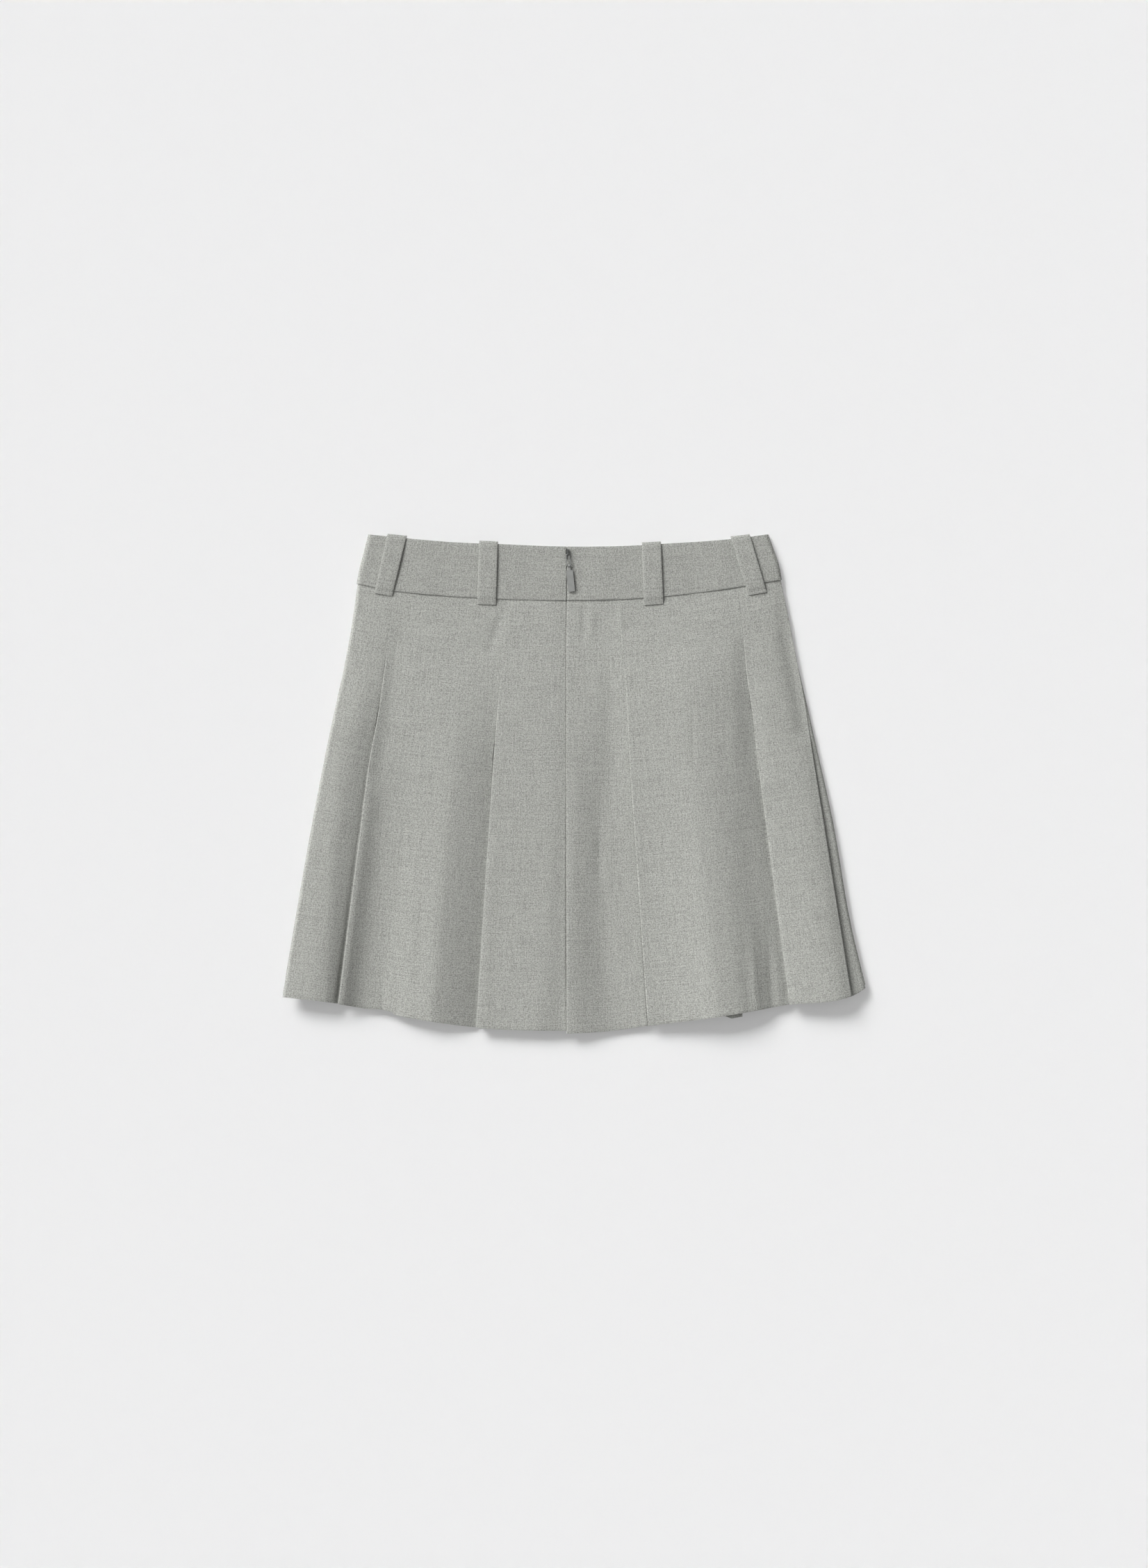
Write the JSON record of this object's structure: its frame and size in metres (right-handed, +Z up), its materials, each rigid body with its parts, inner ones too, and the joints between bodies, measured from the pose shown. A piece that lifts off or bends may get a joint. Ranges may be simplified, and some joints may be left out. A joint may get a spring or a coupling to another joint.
{
  "type": "micro mini skirt",
  "caption": "Short knife-pleated skirt with a shaped waistband, belt loops and a concealed back zip, laid flat with its back up.",
  "frame": {"origin": "on the surface that the skirt lies on, at the middle of its footprint", "axes": "+Z up, out of the skirt's back; +Y from the hem to the waist; +X to the right, seen from above"},
  "size_m": [0.481, 0.4128, 0.0105],
  "materials": {
    "cloth": "grey melange plain weave, matt",
    "zip_tape": "grey woven tape",
    "slider_metal": "dull grey",
    "pull_paint": "smooth grey enamel, satin"
  },
  "bodies": {
    "skirt": {"skirt_back_left": "cloth", "skirt_back_right": "cloth", "skirt_front": "cloth", "waistband_back_left": "cloth", "waistband_back_right": "cloth", "waistband_front": "cloth", "belt_loop_1": "cloth", "belt_loop_2": "cloth", "belt_loop_3": "cloth", "belt_loop_4": "cloth", "zip_tape_left": "zip_tape", "zip_tape_right": "zip_tape", "zip_slider": "slider_metal"},
    "link": {"pull_link": "slider_metal"},
    "tab": {"pull_tab": "pull_paint"}
  },
  "joints": [
    {"name": "link_hinge", "type": "hinge", "parent": "skirt", "child": "link", "pos_m": [-0.0053, 0.18932, 0.00925], "axis": [-0.9945, -0.1045, 0], "range_deg": [0, 135]},
    {"name": "tab_hinge", "type": "hinge", "parent": "link", "child": "tab", "pos_m": [-0.00428, 0.17967, 0.00925], "axis": [-0.9945, -0.1045, 0], "range_deg": [0, 90]}
  ]
}
